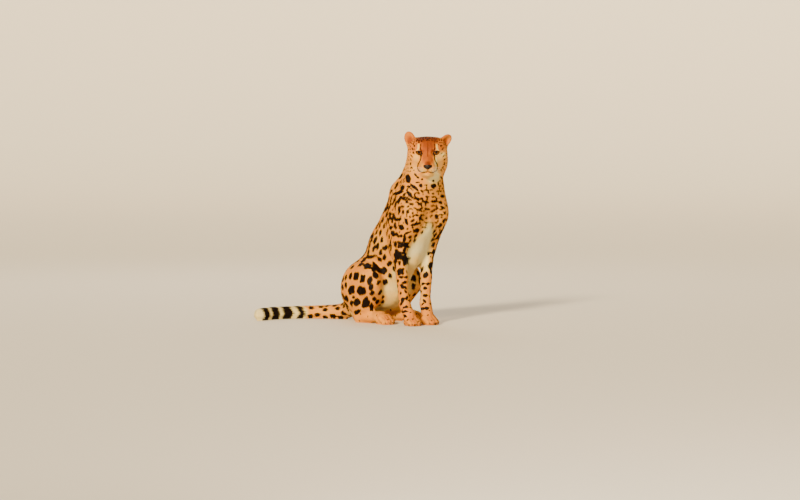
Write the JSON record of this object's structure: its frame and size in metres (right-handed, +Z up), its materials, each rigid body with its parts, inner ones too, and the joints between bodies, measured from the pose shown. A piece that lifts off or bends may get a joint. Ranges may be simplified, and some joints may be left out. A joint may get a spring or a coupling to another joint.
{
  "type": "cheetah model",
  "caption": "Life-size model of an adult cheetah sitting upright on the floor, forelegs straight, head turned to one side, tail laid along the floor.",
  "frame": {"origin": "on the floor, under the middle of the rump that the animal sits on", "axes": "+Z up, +X forward along the pelvis, +Y to the animal's left"},
  "size_m": [0.8677, 0.5227, 0.8221],
  "materials": {
    "coat": "short flat fur, golden tan with solid near-black spots, cream below",
    "ear_coat": "short fur, orange tan in front, black with a pale tip behind",
    "eye": "wet amber eye with a round black pupil",
    "claw": "dark horn, semi-gloss"
  },
  "bodies": {
    "root": {"claw_forefoot_left_1": "claw", "claw_forefoot_left_2": "claw", "claw_forefoot_left_3": "claw", "claw_forefoot_left_4": "claw", "claw_forefoot_right_1": "claw", "claw_forefoot_right_2": "claw", "claw_forefoot_right_3": "claw", "claw_forefoot_right_4": "claw", "claw_hindfoot_left_1": "claw", "claw_hindfoot_left_2": "claw", "claw_hindfoot_left_3": "claw", "claw_hindfoot_left_4": "claw", "claw_hindfoot_right_1": "claw", "claw_hindfoot_right_2": "claw", "claw_hindfoot_right_3": "claw", "claw_hindfoot_right_4": "claw", "dewclaw_left": "claw", "dewclaw_right": "claw", "ear_left": "ear_coat", "ear_right": "ear_coat", "eye_left": "eye", "eye_right": "eye", "forefoot_left": "coat", "forefoot_right": "coat", "foreleg_lower_left": "coat", "foreleg_lower_right": "coat", "foreleg_upper_left": "coat", "foreleg_upper_right": "coat", "head": "coat", "hindfoot_left": "coat", "hindfoot_right": "coat", "neck": "coat", "shank_left": "coat", "shank_right": "coat", "tail_1": "coat", "tail_2": "coat", "tail_3": "coat", "tail_4": "coat", "tail_5": "coat", "thigh_left": "coat", "thigh_right": "coat", "trunk": "coat"}
  },
  "joints": []
}
